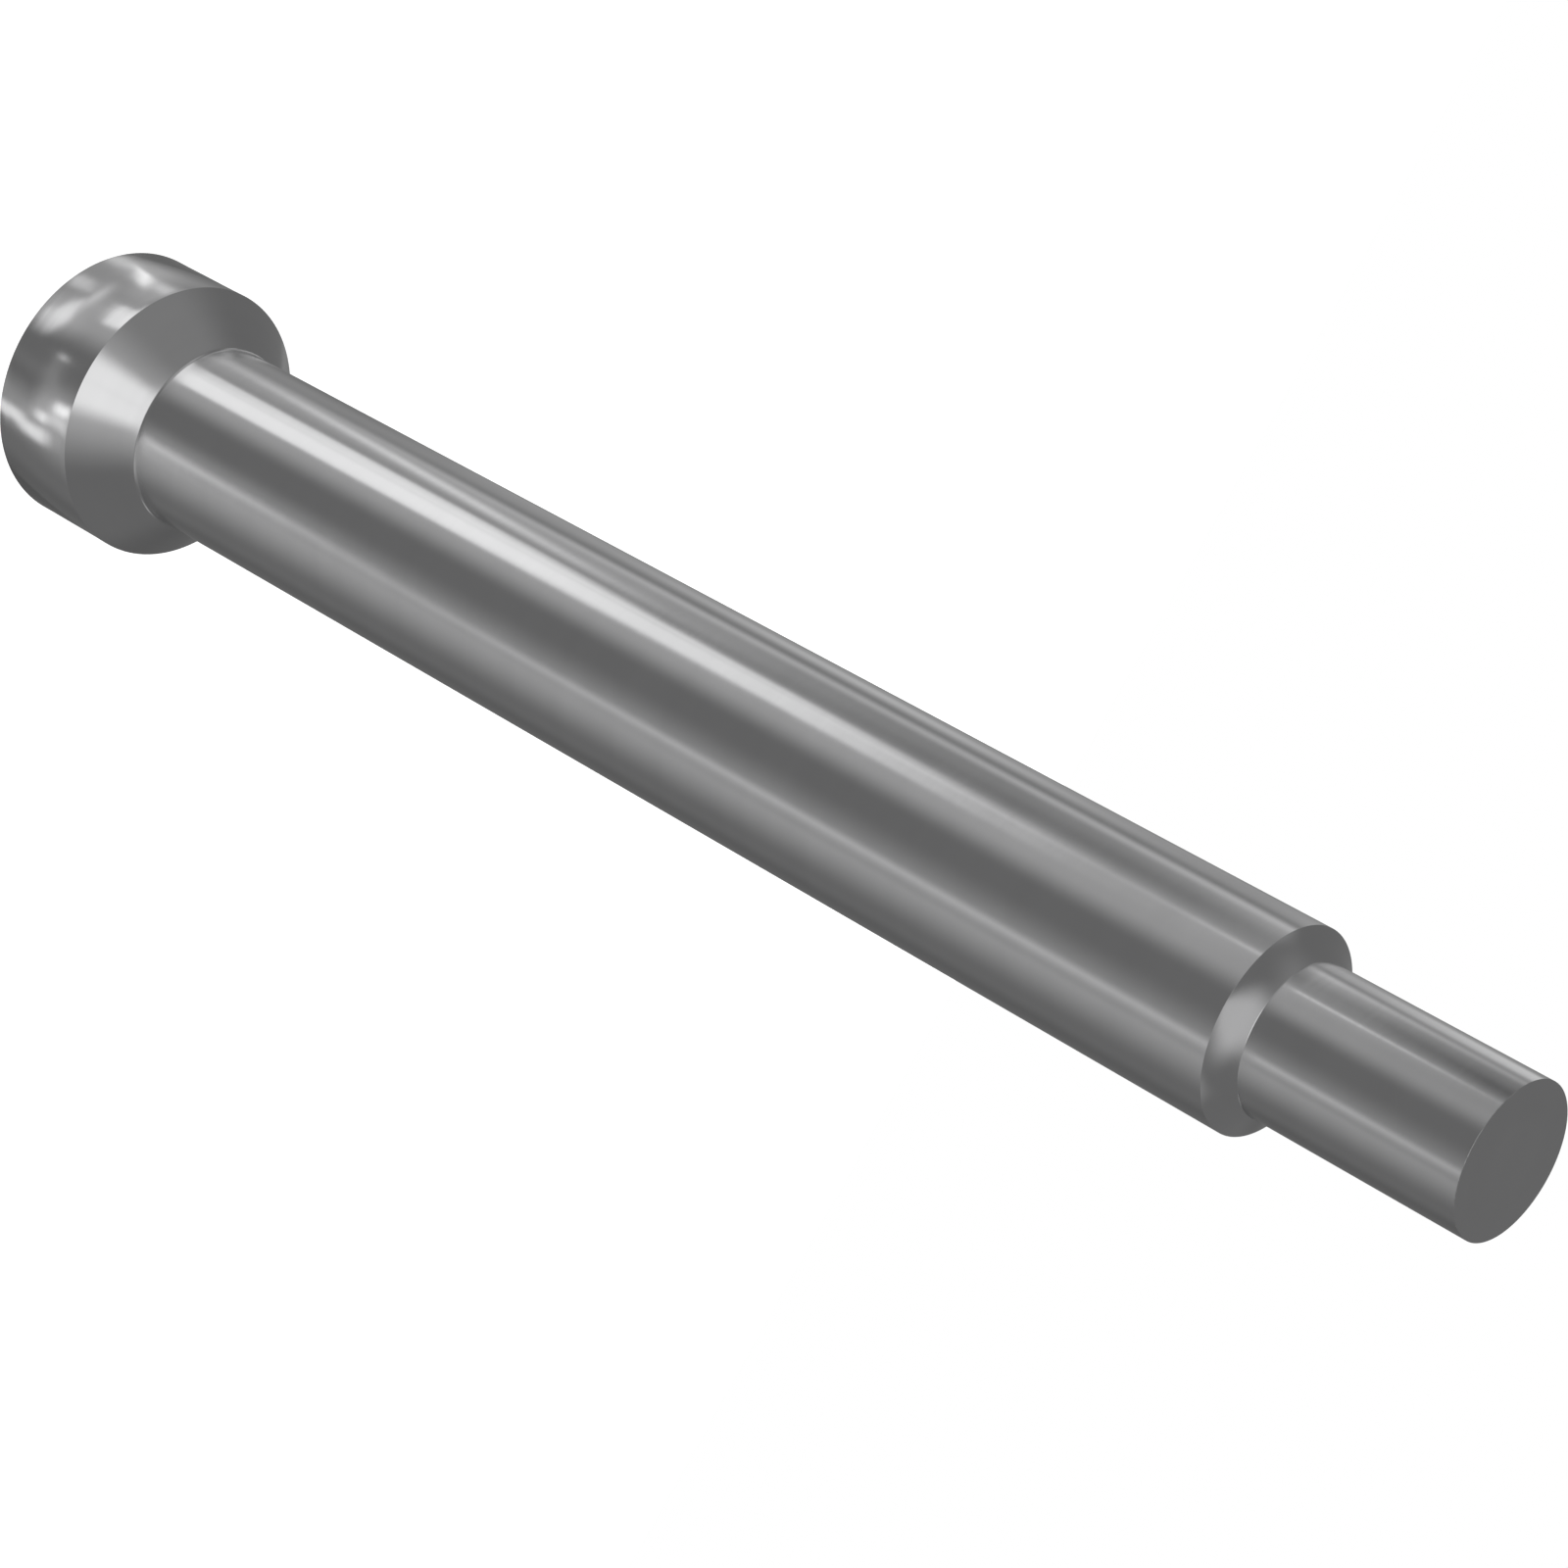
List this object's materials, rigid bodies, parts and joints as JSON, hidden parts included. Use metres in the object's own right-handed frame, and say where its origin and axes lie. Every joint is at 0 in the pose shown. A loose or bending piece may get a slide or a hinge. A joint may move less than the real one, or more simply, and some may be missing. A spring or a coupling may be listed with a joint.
{
  "type": "plain headed shoulder bolt",
  "caption": "Steel bolt with a plain round head, a cone under it, a long smooth shank and a smaller smooth tip, for pinning or locating parts that are pushed on from the tip.",
  "frame": {"origin": "centre of the head's flat end face, which the bolt stands on", "axes": "+Z along the bolt's axis, from the head to the tip; the bolt is round, so +X and +Y are any two directions across it"},
  "size_m": [0.012, 0.012, 0.075],
  "materials": {
    "steel": "plain turned steel, satin"
  },
  "bodies": {
    "root": {"bolt": "steel"}
  },
  "joints": []
}
